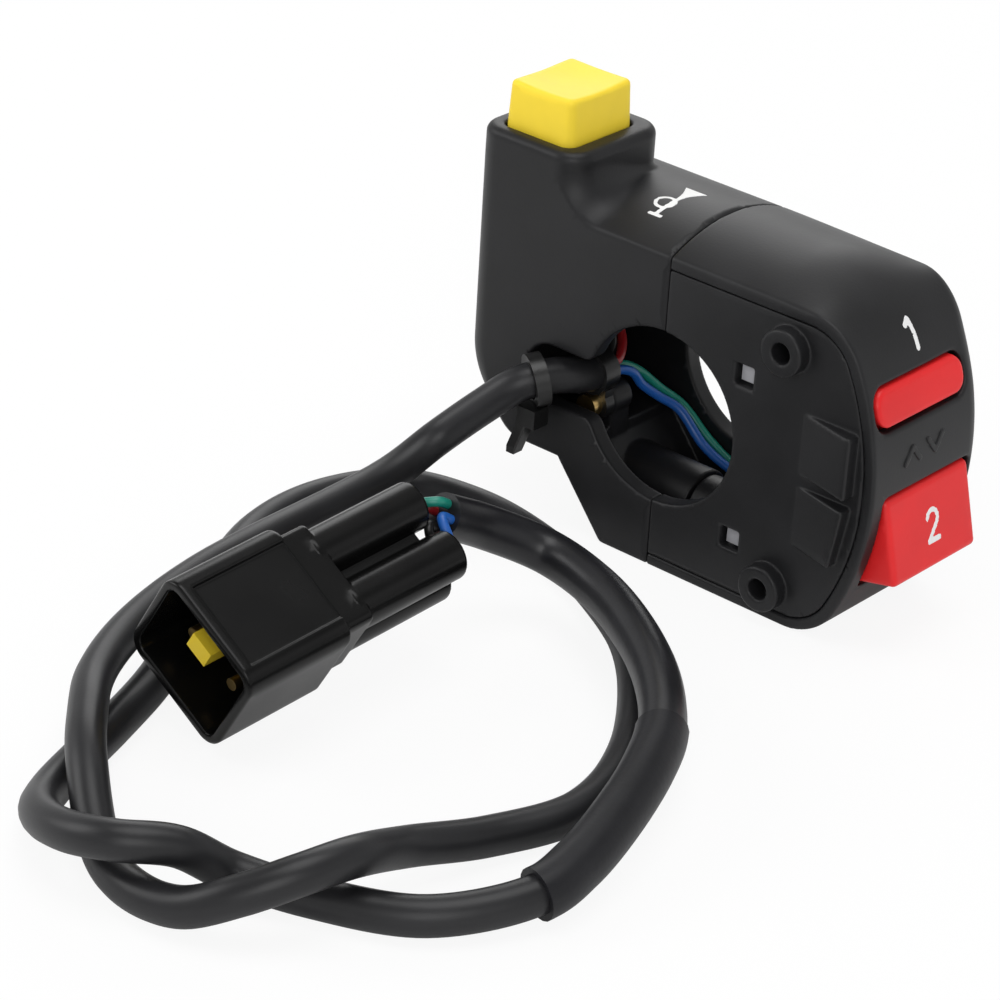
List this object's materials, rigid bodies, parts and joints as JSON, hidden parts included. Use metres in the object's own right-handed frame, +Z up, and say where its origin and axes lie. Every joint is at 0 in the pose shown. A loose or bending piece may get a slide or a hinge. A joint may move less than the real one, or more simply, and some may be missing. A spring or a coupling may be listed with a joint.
{
  "type": "handlebar switch cluster",
  "caption": "Two-half plastic clamp for a handlebar with a horn push button on a tower, a two-position mode rocker in its end, and a cable with a square plug.",
  "frame": {"origin": "on the handlebar axis, at the middle of the clamp depth", "axes": "+X towards the rocker end, +Y along the handlebar away from the side with the cable, +Z up"},
  "size_m": [0.0817, 0.1216, 0.0539],
  "materials": {
    "shell": "fine satin grain",
    "nylon": "natural",
    "steel": "plated",
    "brass": "plain",
    "yellow": "satin",
    "red": "satin",
    "tie": "satin",
    "wire_blue": "smooth",
    "wire_green": "smooth",
    "wire_red": "smooth",
    "wire_black": "smooth",
    "cable": "smooth satin",
    "shrink": "shrunk, satin",
    "sleeve": "soft satin",
    "plug": "smooth",
    "lock": "satin",
    "seal": "matt"
  },
  "bodies": {
    "clamp": {"horn_half_shell": "shell", "mode_half_shell": "shell", "mode_side_cover": "shell", "cover_pegs": "nylon", "upper_clamp_screw": "steel", "lower_clamp_screw": "steel", "clamp_inserts": "brass", "horn_spring": "steel", "horn_contacts": "brass", "horn_contact_base": "nylon", "horn_base_screws": "steel", "rocker_pin": "steel", "mode_switch_base": "nylon", "mode_base_screws": "steel", "mode_terminals": "brass", "cord_clip": "shell", "cord_clip_screw": "brass", "cable_tie": "tie", "blue_wire": "wire_blue", "green_wire": "wire_green", "red_wire": "wire_red", "black_wire": "wire_black", "main_cable": "cable", "heat_shrink_sleeve": "shrink", "connector_sleeve": "sleeve", "connector_housing": "plug", "connector_lock": "lock", "connector_pins": "brass", "connector_seals": "seal", "tail_green": "wire_green", "tail_blue": "wire_blue", "tail_red": "wire_red", "tail_black": "wire_black"},
    "button": {"horn_button": "yellow", "horn_contact_bridge": "brass"},
    "rocker": {"mode_rocker": "red", "detent_plunger": "nylon", "detent_spring": "steel"},
    "contact": {"mode_contact": "brass"}
  },
  "joints": [
    {"name": "button_press", "type": "slide", "parent": "clamp", "child": "button", "axis": [0, 0, -1], "range_m": [0, 0.0025], "stiffness_N_per_m": 900, "springref_m": -0.0017, "deforming": ["horn_spring"]},
    {"name": "mode_rock", "type": "hinge", "parent": "clamp", "child": "rocker", "pos_m": [0.0265, 0, 0.004], "axis": [0, 1, 0], "range_deg": [0, 6]},
    {"name": "contact_tip", "type": "hinge", "parent": "clamp", "child": "contact", "pos_m": [0.0172, 0, 0.004], "axis": [0, 1, 0], "range_deg": [-10.5, 0]}
  ],
  "couplings": [
    {"joint": "contact_tip", "follows": "mode_rock", "ratio": -1.75}
  ]
}
